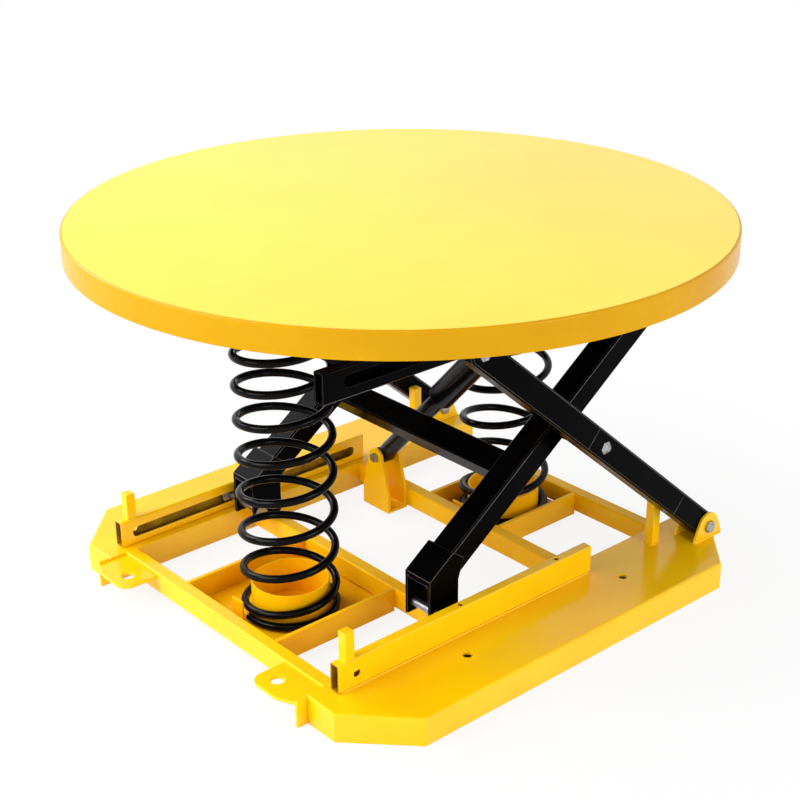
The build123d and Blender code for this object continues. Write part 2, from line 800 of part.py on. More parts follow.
add_sides("outer_leg", outer_leg())
add_sides("top_axle", top_axle())
add_sides("centre_pin", centre_pin())
add_sides("centre_spacer", centre_spacer())
add("inner_legs", pair(inner_leg()))
add("foot_brackets", pair(foot_bracket()))
add("head_brackets", pair(head_bracket()))
add("lower_cross_tube", cross_tube(-lower_tube_distance, lower_tube_size, inner_leg_inner_face))
bracket_inner_face = inner_leg_inner_face - bracket_sheet
add("upper_cross_tube", cross_tube(leg_reach - upper_tube_setback, upper_tube_size, bracket_inner_face))
add("base_axles", pair(base_axle()))
add_sides("base_roller", roller(roller_x, pivot_height))
add_sides("top_roller", roller(roller_x, top_pivot_height))

add("top_rails", pair(top_rail()))
add("top_front_member", top_member(top_front_member_x, top_member_width, beam_bottom))
add("top_rear_member", top_member(top_frame_rear_x - top_member_width, top_member_width, top_rail_bottom))
add("front_spring_beam", top_member(front_spring_x - spring_beam_width / 2, spring_beam_width, beam_bottom))
add("rear_spring_beam", top_member(rear_spring_x - spring_beam_width / 2, spring_beam_width, beam_bottom))
add("ring_beams", [top_member(x - ring_beam_width / 2, ring_beam_width, beam_bottom)
                   for x in (front_ring_beam_x, rear_ring_beam_x)])
add("top_pivot_ears", pair(top_ears()))
add("top_pivot_pins", pair(top_pivot_pin()))
add("spring_caps", [spring_cap(x, y) for x, y in spring_places])
add("damper_hanger", damper_hanger())

add("damper_body", damper_body())
add("damper_rod", damper_rod())
add("damper_cover", damper_cover())
add("damper_head_pin", damper_head_bush())

os.makedirs("parts", exist_ok=True)
for name, shape in parts.items():
    whole = Compound(children=shape) if isinstance(shape, list) and len(shape) > 1 else shape
    whole = whole[0] if isinstance(whole, list) else whole
    export_step(whole, "parts/" + name + ".step")
print(len(parts), "pieces written")
print("raised angle", round(raised_angle, 3), "half leg", round(half_leg, 3))
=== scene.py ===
import json
import math

import bpy
from mathutils import Matrix, Vector


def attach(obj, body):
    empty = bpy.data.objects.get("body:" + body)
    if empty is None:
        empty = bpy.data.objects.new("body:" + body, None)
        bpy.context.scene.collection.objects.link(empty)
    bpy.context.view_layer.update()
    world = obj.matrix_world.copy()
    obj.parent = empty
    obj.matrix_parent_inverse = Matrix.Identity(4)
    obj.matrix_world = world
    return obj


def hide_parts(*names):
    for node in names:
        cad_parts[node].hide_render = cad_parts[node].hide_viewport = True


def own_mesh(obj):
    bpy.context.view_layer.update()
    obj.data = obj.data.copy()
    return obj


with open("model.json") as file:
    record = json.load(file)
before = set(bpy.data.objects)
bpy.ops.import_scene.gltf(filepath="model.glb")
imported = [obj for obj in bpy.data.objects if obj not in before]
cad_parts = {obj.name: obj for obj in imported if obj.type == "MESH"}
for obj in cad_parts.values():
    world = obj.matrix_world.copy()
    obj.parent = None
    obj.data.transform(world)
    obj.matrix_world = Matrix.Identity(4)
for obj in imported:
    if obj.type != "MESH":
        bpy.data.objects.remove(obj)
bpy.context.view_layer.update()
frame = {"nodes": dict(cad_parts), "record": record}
nodes = frame["nodes"]
bodyOf = {node: body for body, members in frame["record"]["behaviour"]["bodies"].items() for node in members}
mm = 0.001

camera = {
    "location": (-1.643072, -1.886048, 1.413865),
    "turn": (66.32085, 0.39505, -41.16480),   # degrees
    "lens": 70.446,
    "sensor": 36.0,
    "reach": 100.0,
}

studio = {
    "floorSize": 30.0,
    "floorLevel": -0.0005,
    "floorShade": "#F6F6F6",
    "shadowShare": 0.86,          # how much of the floor's shade is already white close to the table
    "whiteStart": 0.55,           # metres from the table's middle where the floor starts to turn pure white
    "whiteEnd": 1.15,
    # Under the folded plates the floor keeps its full shade
    "coverX": 0.33, "coverY": 0.365, "coverHalf": 0.07,
    "overheadSky": 0.40,          # the tent's brightness overhead and at the floor's edge
    "lowSky": 1.90,
    "lowSkyTop": 0.55,            # sine of the height where the low sky ends
    "aim": (0, 0, 0.3),
    "lamps": {
        "overhead": {"place": (-1.1, -0.5, 3.2), "size": 1.1, "watts": 5.0},
        "leftSide": {"place": (-2.6, 0.9, 2.3), "size": 2.2, "watts": 84.0},
        "nearSide": {"place": (0.4, -3.4, 1.4), "size": 1.7, "watts": 34.0},
        # The far leg's upper face mirrors this one
        "farSide": {"place": (-0.8, 2.45, 2.15), "size": 1.7, "watts": 52.0},
    },
}


def toLinear(code):
    values = [int(code[i:i + 2], 16) / 255 for i in (1, 3, 5)]
    linear = [v / 12.92 if v <= 0.04045 else ((v + 0.055) / 1.055) ** 2.4 for v in values]
    return (*linear, 1.0)


# Adds a node: settings are socket values or properties, links are socket: (node, its output)
def addNode(tree, kind, settings=None, links=None):
    node = tree.nodes.new(kind)
    for key, value in (settings or {}).items():
        if isinstance(key, str) and hasattr(node, key):
            setattr(node, key, value)
        else:
            node.inputs[key].default_value = value
    for key, (source, output) in (links or {}).items():
        tree.links.new(source.outputs[output], node.inputs[key])
    return node


def newMaterial(name):
    material = bpy.data.materials.new(name)
    material.use_nodes = True
    material.node_tree.nodes.clear()
    return material, material.node_tree


# Paint: baked enamel over steel, sprayed. A thin clear gloss over a strong colour, with the fine
# waves of a sprayed coat, a slow drift in tone from how thick it lies, and a few duller scuffs.

enamels = {
    # The deck's top: the yellow paint made lighter and more lemon, as painted light
    "deckEnamelPaintedLight": {
        "colour": "#FFD805", "deep": "#FFD302", "rough": 0.17, "scuffRough": 0.24, "shine": 0.42,
        "coat": 0.06, "coatRough": 0.05, "peel": 3.0, "peelDepth": 0.010, "drift": 260.0, "scuff": 55.0,
    },
    # The rim: the yellow paint made darker and more orange, as painted shade
    "rimEnamelPaintedShade": {
        "colour": "#D09A02", "deep": "#CC9402", "rough": 0.24, "scuffRough": 0.32, "shine": 0.10,
        "coat": 0.05, "coatRough": 0.08, "peel": 2.6, "peelDepth": 0.014, "drift": 140.0, "scuff": 40.0,
    },
    "yellowEnamel": {
        "colour": "#FFCC05", "deep": "#FFC402", "rough": 0.20, "scuffRough": 0.28, "shine": 0.30,
        "coat": 0.10, "coatRough": 0.08, "peel": 2.6, "peelDepth": 0.014, "drift": 140.0, "scuff": 40.0,
    },
    # The parts under the turntable: the yellow paint made more orange, as painted shade
    "amberEnamelPaintedShade": {
        "colour": "#FFC405", "deep": "#FFBA03", "rough": 0.28, "scuffRough": 0.38, "shine": 0.14,
        "coat": 0.0, "coatRough": 0.10, "peel": 2.6, "peelDepth": 0.014, "drift": 90.0, "scuff": 34.0,
    },
    "blackEnamel": {
        "colour": "#030304", "deep": "#060607", "rough": 0.17, "scuffRough": 0.28, "shine": 0.02,
        "coat": 0.0, "coatRough": 0.14, "peel": 2.2, "peelDepth": 0.016, "drift": 90.0, "scuff": 30.0,
    },
    "springCoat": {
        "colour": "#030304", "deep": "#060607", "rough": 0.13, "scuffRough": 0.18, "shine": 0.09,
        "coat": 0.0, "coatRough": 0.07, "peel": 3.4, "peelDepth": 0.012, "drift": 60.0, "scuff": 25.0,
    },
    "damperPaint": {
        "colour": "#060607", "deep": "#0B0B0D", "rough": 0.22, "scuffRough": 0.32, "shine": 0.20,
        "coat": 0.0, "coatRough": 0.25, "peel": 1.8, "peelDepth": 0.010, "drift": 50.0, "scuff": 22.0,
    },
    # The rails' hollow: dark brown, partly grease and partly painted shade
    "greaseAndShadePaint": {
        "colour": "#B58A1C", "deep": "#7A5C16", "rough": 0.30, "scuffRough": 0.50, "shine": 0.35,
        "coat": 0.0, "coatRough": 0.2, "peel": 1.8, "peelDepth": 0.012, "drift": 30.0, "scuff": 14.0,
    },
    # The legs' rounded edges: greyer and glossier than the black enamel, a painted highlight with real gloss
    "edgePaintedHighlight": {      # black enamel drawn thin over a rounded edge, rubbed smooth, which catches the light
        "colour": "#141517", "deep": "#202124", "rough": 0.22, "scuffRough": 0.34, "shine": 0.95,
        "coat": 0.0, "coatRough": 0.14, "peel": 2.2, "peelDepth": 0.010, "drift": 40.0, "scuff": 12.0,
    },
    "seamPaint": {
        "colour": "#2A2B2D", "deep": "#454648", "rough": 0.34, "scuffRough": 0.48, "shine": 0.30,
        "coat": 0.0, "coatRough": 0.2, "peel": 1.8, "peelDepth": 0.012, "drift": 12.0, "scuff": 8.0,
    },
}

# What all the enamels share: where in the noise the drift and the scuffs begin and end, and its detail
enamelNoise = {
    "drift": (0.40, 0.68), "driftDetail": 3.0, "driftRoughness": 0.5,
    "scuff": (0.52, 0.72), "scuffDetail": 6.0, "scuffRoughness": 0.7,
    "peelDetail": 1.0, "peelStrength": 0.35, "refraction": 1.5,
}


def makeEnamel(name, look):
    noise = enamelNoise
    material, tree = newMaterial(name)
    place = addNode(tree, "ShaderNodeTexCoord")
    drift = addNode(tree, "ShaderNodeTexNoise",
                    {"Scale": 1 / (look["drift"] * mm), "Detail": noise["driftDetail"],
                     "Roughness": noise["driftRoughness"]},
                    {"Vector": (place, "Object")})
    driftRange = addNode(tree, "ShaderNodeMapRange",
                         {"From Min": noise["drift"][0], "From Max": noise["drift"][1]},
                         {"Value": (drift, 0)})
    tone = addNode(tree, "ShaderNodeMix",
                   {"data_type": "RGBA", 6: toLinear(look["colour"]), 7: toLinear(look["deep"])},
                   {0: (driftRange, 0)})
    scuff = addNode(tree, "ShaderNodeTexNoise",
                    {"Scale": 1 / (look["scuff"] * mm), "Detail": noise["scuffDetail"],
                     "Roughness": noise["scuffRoughness"]},
                    {"Vector": (place, "Object")})
    scuffRange = addNode(tree, "ShaderNodeMapRange",
                         {"From Min": noise["scuff"][0], "From Max": noise["scuff"][1],
                          "To Min": look["rough"], "To Max": look["scuffRough"]},
                         {"Value": (scuff, 0)})
    peel = addNode(tree, "ShaderNodeTexNoise",
                   {"Scale": 1 / (look["peel"] * mm), "Detail": noise["peelDetail"]},
                   {"Vector": (place, "Object")})
    bump = addNode(tree, "ShaderNodeBump",
                   {"Strength": noise["peelStrength"], "Distance": look["peelDepth"] * mm},
                   {"Height": (peel, 0)})
    shader = addNode(tree, "ShaderNodeBsdfPrincipled",
                     {"IOR": noise["refraction"], "Specular IOR Level": look["shine"],
                      "Coat Weight": look["coat"], "Coat Roughness": look["coatRough"]},
                     {"Base Color": (tone, 2), "Roughness": (scuffRange, 0), "Normal": (bump, 0)})
    addNode(tree, "ShaderNodeOutputMaterial", links={"Surface": (shader, 0)})
    return material


# Bare and plated metal: zinc plated bolts and pins with a soft grey bloom, turned races,
# and the damper's hard chromed rod, which is nearly a mirror.

metals = {
    "zincPlate": {"colour": "#B4B6B8", "dull": "#7C7F82", "rough": 0.30, "dullRough": 0.46, "grain": 6.0},
    "turnedSteel": {"colour": "#A9ABAD", "dull": "#77797B", "rough": 0.26, "dullRough": 0.40, "grain": 4.0},
    "hardChrome": {"colour": "#D9DBDD", "dull": "#BFC2C5", "rough": 0.07, "dullRough": 0.14, "grain": 12.0},
}

# What the metals share: where in the noise the bloom begins and ends, and its detail
metalNoise = {"bloom": (0.38, 0.70), "detail": 5.0, "roughness": 0.65}


def makeMetal(name, look):
    noise = metalNoise
    material, tree = newMaterial(name)
    place = addNode(tree, "ShaderNodeTexCoord")
    bloom = addNode(tree, "ShaderNodeTexNoise",
                    {"Scale": 1 / (look["grain"] * mm), "Detail": noise["detail"],
                     "Roughness": noise["roughness"]},
                    {"Vector": (place, "Object")})
    bloomRange = addNode(tree, "ShaderNodeMapRange",
                         {"From Min": noise["bloom"][0], "From Max": noise["bloom"][1]},
                         {"Value": (bloom, 0)})
    tone = addNode(tree, "ShaderNodeMix",
                   {"data_type": "RGBA", 6: toLinear(look["colour"]), 7: toLinear(look["dull"])},
                   {0: (bloomRange, 0)})
    gloss = addNode(tree, "ShaderNodeMapRange",
                    {"To Min": look["rough"], "To Max": look["dullRough"]},
                    {"Value": (bloomRange, 0)})
    shader = addNode(tree, "ShaderNodeBsdfPrincipled", {"Metallic": 1.0},
                     {"Base Color": (tone, 2), "Roughness": (gloss, 0)})
    addNode(tree, "ShaderNodeOutputMaterial", links={"Surface": (shader, 0)})
    return material


finishes = {name: makeEnamel(name, look) for name, look in enamels.items()}
finishes.update({name: makeMetal(name, look) for name, look in metals.items()})
print("finishes made:", len(finishes))


def onlySelect(piece):
    if bpy.context.object and bpy.context.object.mode != "OBJECT":
        bpy.ops.object.mode_set(mode="OBJECT")
    bpy.ops.object.select_all(action="DESELECT")
    piece.select_set(True)
    bpy.context.view_layer.objects.active = piece


def applyModifier(piece, kind, **settings):
    modifier = piece.modifiers.new(kind.title(), kind)
    for key, value in settings.items():
        setattr(modifier, key, value)
    onlySelect(piece)
    bpy.ops.object.modifier_apply(modifier=modifier.name)


def paint(piece, *names):
    piece.data.materials.clear()
    for name in names:
        piece.data.materials.append(finishes[name])


# Names a finished piece, puts its place into its mesh, and lets it ride on its body
def settle(piece, name, body):
    onlySelect(piece)
    bpy.ops.object.transform_apply(location=True, rotation=True, scale=True)
    piece.name = name
    piece.data.name = name
    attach(piece, body)
    return piece


# Each rigid part is dressed: the same shape with its hard edges eased as sheet and tube have them.
# Each line gives a part's finish and the width of its eased edges.

# Parts in the shade under the turntable take the more orange copy of the yellow, which is painted shade
dressing = {
    "deck_ribs": ("amberEnamelPaintedShade", 0.6), "hub_ring": ("amberEnamelPaintedShade", 0.6),
    "upper_race": ("turnedSteel", 0.5), "lower_race": ("turnedSteel", 0.5),
    "bearing_balls": ("hardChrome", 0), "bearing_plate": ("blackEnamel", 0.6),
    "side_plate_right": ("yellowEnamel", 2.4), "side_plate_left": ("yellowEnamel", 2.4),
    "base_rails": ("yellowEnamel", 0.9), "front_member": ("yellowEnamel", 0.9),
    "inner_front_member": ("amberEnamelPaintedShade", 0.9), "inner_rear_member": ("amberEnamelPaintedShade", 0.9),
    "rear_member": ("amberEnamelPaintedShade", 0.9), "front_pocket_bars": ("amberEnamelPaintedShade", 0.9),
    "rear_pocket_bars": ("amberEnamelPaintedShade", 0.9), "pocket_floors": ("amberEnamelPaintedShade", 0.7),
    "spring_cups": ("amberEnamelPaintedShade", 0.9), "front_stop_posts": ("yellowEnamel", 1.2),
    "rear_stop_posts": ("yellowEnamel", 1.2), "tie_down_lugs": ("yellowEnamel", 1.2),
    "pivot_ears": ("yellowEnamel", 1.0), "leg_pivot_pins": ("zincPlate", 0.8),
    "damper_clevis": ("amberEnamelPaintedShade", 1.0), "damper_foot_pin": ("zincPlate", 0.7),
    "outer_leg_right": ("blackEnamel", 1.9), "outer_leg_left": ("blackEnamel", 1.9),
    "top_axle_right": ("zincPlate", 0.8), "top_axle_left": ("zincPlate", 0.8),
    "centre_pin_right": ("zincPlate", 0.8), "centre_pin_left": ("zincPlate", 0.8),
    "centre_spacer_right": ("blackEnamel", 0.6), "centre_spacer_left": ("blackEnamel", 0.6),
    "inner_legs": ("blackEnamel", 1.9),
    "foot_brackets": ("blackEnamel", 1.2), "head_brackets": ("blackEnamel", 1.2),
    "lower_cross_tube": ("blackEnamel", 1.0), "upper_cross_tube": ("blackEnamel", 1.0),
    "base_axles": ("zincPlate", 0.8), "base_roller_right": ("turnedSteel", 0.8),
    "base_roller_left": ("turnedSteel", 0.8), "top_roller_right": ("turnedSteel", 0.8),
    "top_roller_left": ("turnedSteel", 0.8), "top_rails": ("blackEnamel", 0.9),
    "top_front_member": ("blackEnamel", 0.9), "top_rear_member": ("blackEnamel", 0.9),
    "front_spring_beam": ("blackEnamel", 0.9), "rear_spring_beam": ("blackEnamel", 0.9),
    "ring_beams": ("blackEnamel", 0.9), "top_pivot_ears": ("blackEnamel", 1.0),
    "top_pivot_pins": ("zincPlate", 0.8), "spring_caps": ("blackEnamel", 0.8),
    "damper_hanger": ("blackEnamel", 0.9), "damper_body": ("damperPaint", 0.8),
    "damper_rod": ("hardChrome", 0.5), "damper_cover": ("damperPaint", 1.4),
    "damper_head_pin": ("zincPlate", 0.6),
}

# How edges are eased: flat faces are joined up to flatAngle, and edges over easeAngle are rounded
easing = {"merge": 0.004, "flatAngle": 0.8, "easeAngle": 35.0, "steps": 3, "smoothAngle": 32.0}

# A second finish: the rails' hollow, painted dark for grease and dust and as painted shade, and the legs'
# rounded edges, greyer as a painted highlight
secondFinish = {
    "base_rails": "greaseAndShadePaint", "outer_leg_right": "edgePaintedHighlight", "outer_leg_left": "edgePaintedHighlight",
    "inner_legs": "edgePaintedHighlight", "foot_brackets": "edgePaintedHighlight", "head_brackets": "edgePaintedHighlight",
    "top_rails": "edgePaintedHighlight",
}


# Touches on some dressed parts: the folds of the floor plates, the legs' ends, the centre bolts' heads,
# the ends of the pocket floors, and where the rails' hollow lies

touches = {
    "foldRadius": 5.0, "foldFrom": 300.0, "foldLength": 60.0, "foldSteps": 4, "plateTop": 50.0,
    "near": 0.01, "faceUp": 0.9, "upright": 0.1,      # what counts as level, facing up and upright
    "centre": (120.0, 316.0), "legReach": 369.6, "legEnd": 8.0, "legAngle": 35.651, "pullBack": 16.0,
    "headFrom": 369.3, "headShare": 0.36,
    "floors": ((-388.0, -126.0, -121.0, 131.0), (146.0, 357.0, -93.0, 93.0)),
    "barFoot": 13.0, "barLow": 6.0,
    "holes": ((184.0, 365.0, 7.2, 1.25), (-184.0, 365.0, 7.2, 1.25),
              (-145.0, 306.0, 4.2, 1.35), (78.0, 306.0, 4.2, 1.35)),
    "boreY": (298.5, 313.5), "boreZ": (52.5, 97.5),
}


# Rounds a floor plate's outer top edges, where the sheet is folded down
def foldPlate(piece, size):
    mesh = piece.data
    onlySelect(piece)
    bpy.ops.object.mode_set(mode="EDIT")
    bpy.ops.mesh.select_mode(type="EDGE")
    bpy.ops.mesh.select_all(action="DESELECT")
    bpy.ops.object.mode_set(mode="OBJECT")
    sides = {}
    for face in mesh.polygons:
        for key in face.edge_keys:
            sides.setdefault(key, []).append(face.normal.z)
    for edge in mesh.edges:
        ends = [mesh.vertices[v].co / mm for v in edge.vertices]
        isTop = all(abs(end.z - size["plateTop"]) < size["near"] for end in ends)
        tilts = sides.get(tuple(sorted(edge.vertices)), [])
        isFold = len(tilts) == 2 and max(tilts) > size["faceUp"] and abs(min(tilts)) < size["upright"]
        isOuter = abs((ends[0].y + ends[1].y) / 2) > size["foldFrom"]
        isLong = (ends[0] - ends[1]).length > size["foldLength"]
        edge.select = isTop and isFold and isOuter and isLong
    bpy.ops.object.mode_set(mode="EDIT")
    bpy.ops.mesh.bevel(offset=size["foldRadius"] * mm, segments=size["foldSteps"], affect="EDGES")
    bpy.ops.object.mode_set(mode="OBJECT")


# Draws the inner legs' square ends back inside their brackets
def pullLegEnds(piece, size):
    angle = math.radians(size["legAngle"])
    along = Vector((math.cos(angle), 0, math.sin(angle)))
    centre = Vector((size["centre"][0], 0, size["centre"][1]))
    for vertex in piece.data.vertices:
        distance = (vertex.co / mm - centre).dot(along)
        if abs(distance) > size["legReach"] - size["legEnd"]:
            vertex.co -= along * math.copysign(size["pullBack"] * mm, distance)


# Draws the centre bolts' hexagon heads in, towards their own axis
def shrinkHeads(piece, size):
    for vertex in piece.data.vertices:
        if abs(vertex.co.y) / mm > size["headFrom"]:
            vertex.co.x += (size["centre"][0] * mm - vertex.co.x) * (1 - size["headShare"])
            vertex.co.z += (size["centre"][1] * mm - vertex.co.z) * (1 - size["headShare"])


# Draws the pocket floors' edges in under the members and bars that they are welded to
def trimFloors(piece, size):
    for vertex in piece.data.vertices:
        x0, x1, y0, y1 = [edge * mm for edge in size["floors"][0 if vertex.co.x < 0 else 1]]
        vertex.co.x = min(max(vertex.co.x, x0), x1)
        vertex.co.y = min(max(vertex.co.y, y0), y1)


# Brings the pocket bars' lower edges down over the floors' edges, as the welded box has them
def lowerBars(piece, size):
    for vertex in piece.data.vertices:
        if vertex.co.z < size["barFoot"] * mm:
            vertex.co.z = size["barLow"] * mm


# Opens the small drilled holes a little: each is (x, y, reach to its rim, how much wider)
def openHoles(piece, size):
    for vertex in piece.data.vertices:
        for x, y, reach, wider in size["holes"]:
            out = Vector((vertex.co.x / mm - x, abs(vertex.co.y) / mm - y, 0))
            if out.length < reach:
                outward = Vector((out.x, math.copysign(out.y, out.y * vertex.co.y), 0))
                vertex.co += outward * (wider - 1) * mm


def finishPlate(piece, size):
    openHoles(piece, size)
    foldPlate(piece, size)


# The hollow that the rollers run in holds grease and dust, and its faces are painted dark brown: partly
# grease, partly painted shade inside the hollow
def greaseAndShadeInside(piece, size):
    for face in piece.data.polygons:
        y, z = abs(face.center.y) / mm, face.center.z / mm
        if size["boreY"][0] < y < size["boreY"][1] and size["boreZ"][0] < z < size["boreZ"][1]:
            face.material_index = 1


ownTouch = {
    "side_plate_right": finishPlate, "side_plate_left": finishPlate, "inner_legs": pullLegEnds,
    "centre_pin_right": shrinkHeads, "centre_pin_left": shrinkHeads, "pocket_floors": trimFloors,
    "front_pocket_bars": lowerBars, "rear_pocket_bars": lowerBars, "base_rails": openHoles,
}


def dress(node, finish, edge):
    mesh = nodes[node].data.copy()
    piece = bpy.data.objects.new(node, mesh)
    bpy.context.scene.collection.objects.link(piece)
    onlySelect(piece)
    bpy.ops.object.mode_set(mode="EDIT")
    bpy.ops.mesh.select_all(action="SELECT")
    bpy.ops.mesh.remove_doubles(threshold=easing["merge"] * mm)
    bpy.ops.mesh.dissolve_limited(angle_limit=math.radians(easing["flatAngle"]))
    bpy.ops.object.mode_set(mode="OBJECT")
    if node in ownTouch:
        ownTouch[node](piece, touches)
    second = secondFinish.get(node)
    paint(piece, finish, *([second] if second else []))
    # On the legs the bevel's faces take the second finish: a painted highlight along the edges
    if edge:
        applyModifier(piece, "BEVEL", width=edge * mm, segments=easing["steps"], limit_method="ANGLE",
                      angle_limit=math.radians(easing["easeAngle"]), use_clamp_overlap=True,
                      material=1 if second == "edgePaintedHighlight" else -1)
    if second == "greaseAndShadePaint":
        greaseAndShadeInside(piece, touches)
    onlySelect(piece)
    bpy.ops.object.shade_smooth_by_angle(angle=math.radians(easing["smoothAngle"]))
    applyModifier(piece, "WEIGHTED_NORMAL", keep_sharp=True)
    settle(piece, node + ".dressed", bodyOf[node])
    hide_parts(node)
    return piece


dressed = {node: dress(node, finish, edge) for node, (finish, edge) in dressing.items()}
print("parts dressed:", len(dressed))

# Turntable: one pressed dish, its rolled edge turning down into the rim. Its top is painted a lighter
# yellow, as painted light, and its rim a darker one, as painted shade, though both are the same sheet and
# paint

turntable = {
    "radius": 555.0, "top": 661.0, "rim": 44.0, "sheet": 4.0,
    "roll": 4.0, "rollSteps": 6, "facets": 256, "smoothAngle": 30.0,
    "near": 0.001, "faceDown": -0.9, "paintedLightDepth": 0.05,    # the deck's finish reaches paintedLightDepth down
}


def makeTurntable(size):
    bpy.ops.mesh.primitive_cylinder_add(vertices=size["facets"], radius=size["radius"] * mm,
                                        depth=size["rim"] * mm,
                                        location=(0, 0, (size["top"] - size["rim"] / 2) * mm))
    dish = bpy.context.object
    bpy.ops.object.transform_apply(location=True)
    bpy.ops.object.mode_set(mode="EDIT")
    bpy.ops.mesh.select_all(action="DESELECT")
    bpy.ops.object.mode_set(mode="OBJECT")
    for face in dish.data.polygons:
        face.select = face.normal.z < size["faceDown"]
    bpy.ops.object.mode_set(mode="EDIT")
    bpy.ops.mesh.select_mode(type="FACE")
    bpy.ops.mesh.delete(type="ONLY_FACE")
    bpy.ops.object.mode_set(mode="OBJECT")
    top = size["top"] * mm
    for edge in dish.data.edges:
        edge.select = all(abs(dish.data.vertices[v].co.z - top) < size["near"] * mm for v in edge.vertices)
    bpy.ops.object.mode_set(mode="EDIT")
    bpy.ops.mesh.select_mode(type="EDGE")
    bpy.ops.mesh.bevel(offset=size["roll"] * mm, segments=size["rollSteps"], affect="EDGES")
    bpy.ops.object.mode_set(mode="OBJECT")
    applyModifier(dish, "SOLIDIFY", thickness=size["sheet"] * mm, offset=-1.0)
    onlySelect(dish)
    bpy.ops.object.shade_smooth_by_angle(angle=math.radians(size["smoothAngle"]))
    applyModifier(dish, "WEIGHTED_NORMAL", keep_sharp=True)
    # The rim takes the darker copy of the yellow, as painted shade, and the deck's top the lighter copy, as
    # painted light
    paint(dish, "rimEnamelPaintedShade", "deckEnamelPaintedLight")
    settle(dish, "turntable_dish", "turntable")
    # The faces at the very top get the lighter copy of the yellow: painted light
    flat = (size["top"] - size["paintedLightDepth"]) * mm
    for face in dish.data.polygons:
        if face.center.z > flat:
            face.material_index = 1
    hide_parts("turntable_deck", "turntable_rim")


makeTurntable(turntable)

# Springs: round wire coiled nine turns or more, closed at both ends, black and glossy from dipping.
# The front one's coils crowd a little towards its top.

springs = {
    "meanRadius": 78.0, "wireRadius": 7.0, "closedTurns": 0.75, "openingTurns": 0.5,
    "coilGap": 0.6, "endGap": 0.3, "bottom": 10.0, "top": 551.0,
    "steps": 56, "sides": 16, "smoothAngle": 40.0, "lowered": 0.291,
    "places": {"front_spring": (-266.0, -14.0), "rear_spring": (253.0, -2.0)},
    "startAngles": {"front_spring": 168.0, "rear_spring": -45.0},
    "turns": {"front_spring": 9.85, "rear_spring": 9.0},
    "crowding": {"front_spring": 0.4, "rear_spring": 0.0}, "crowdFrom": 4.5,
}


# Height of the wire's middle at every step, from the closed coils' pitch to the open coils' and back
def springRise(size, turns, crowding):
    closed = 2 * size["wireRadius"] + size["coilGap"]
    lowest = size["bottom"] + size["wireRadius"] + size["endGap"]
    height = size["top"] - size["wireRadius"] - size["endGap"] - lowest
    shares, openness = [], []
    for i in range(round(turns * size["steps"])):
        turn = (i + 0.5) / size["steps"]
        fromEnd = min(turn, turns - turn)
        share = min(1.0, max(0.0, (fromEnd - size["closedTurns"]) / size["openingTurns"]))
        crowd = crowding * max(0.0, turn - size["crowdFrom"]) / (turns - size["crowdFrom"])
        shares.append(share)
        openness.append(share * (1 - crowd))
    spare = height - closed * sum(1 - share for share in shares) / size["steps"]
    opened = spare * size["steps"] / sum(openness)
    rise = [lowest]
    for share, spread in zip(shares, openness):
        rise.append(rise[-1] + (closed * (1 - share) + opened * spread) / size["steps"])
    return rise


def makeSpring(name, place, size):
    angle = math.radians(size["startAngles"][name])
    bpy.ops.mesh.primitive_circle_add(vertices=size["sides"], radius=size["wireRadius"] * mm,
                                      location=(size["meanRadius"] * mm, 0, 0),
                                      rotation=(math.radians(90), 0, 0))
    coil = bpy.context.object
    bpy.ops.object.transform_apply(location=True, rotation=True)
    rise = springRise(size, size["turns"][name], size["crowding"][name])
    steps = len(rise) - 1
    applyModifier(coil, "SCREW", angle=math.radians(360) * steps / size["steps"], screw_offset=0.0,
                  steps=steps, render_steps=steps, use_merge_vertices=False, use_smooth_shade=True)
    for i, vertex in enumerate(coil.data.vertices):
        turned = Matrix.Rotation(angle, 3, "Z") @ vertex.co
        vertex.co = turned + Vector((place[0], place[1], rise[i // size["sides"]])) * mm
    bpy.ops.object.mode_set(mode="EDIT")
    bpy.ops.mesh.select_all(action="DESELECT")
    bpy.ops.mesh.select_mode(type="EDGE")
    bpy.ops.mesh.select_non_manifold()
    bpy.ops.mesh.edge_face_add()
    bpy.ops.mesh.select_all(action="SELECT")
    bpy.ops.mesh.normals_make_consistent(inside=False)
    bpy.ops.object.mode_set(mode="OBJECT")
    bpy.ops.object.shade_smooth_by_angle(angle=math.radians(size["smoothAngle"]))
    paint(coil, "springCoat")
    settle(coil, name + ".coil", "base")
    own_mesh(coil)
    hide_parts(name)


for springName, springPlace in springs["places"].items():
    makeSpring(springName, springPlace, springs)
print("turntable and springs made")

# Welds: low rippled beads where the real one's tubes and plates are joined, painted over

welds = {
    "ripple": 4.2, "rippleDepth": 0.13, "rippleSteps": 4, "fewestSteps": 8, "sides": 6,
    "endShare": 2.5, "merge": 0.02,
    "rail": {"x": (-402.0, 151.0), "y": 316.6, "z": 50.4, "bead": 2.3},
    "frontPost": {"x": -381.0, "y": 306.0, "z": 100.2, "half": 9.2, "bead": 1.7},
    "rearPost": {"x": 314.0, "y": 318.0, "z": 50.2, "half": 9.2, "bead": 2.0},
    "lug": {"x": -397.4, "y": (183.0, 279.0), "z": 45.2, "bead": 2.2},
    "cup": {"radius": 67.6, "z": 10.3, "bead": 2.2},
    "ear": {"x": (367.0, 439.0), "y": (325.0, 375.0), "z": 50.4, "bead": 2.4},
    "seam": {"y": 369.2, "bead": 1.0,
             "lines": (((100.5, 356.0), (74.5, 327.0)), ((331.0, 156.5), (305.0, 127.5)))},
}


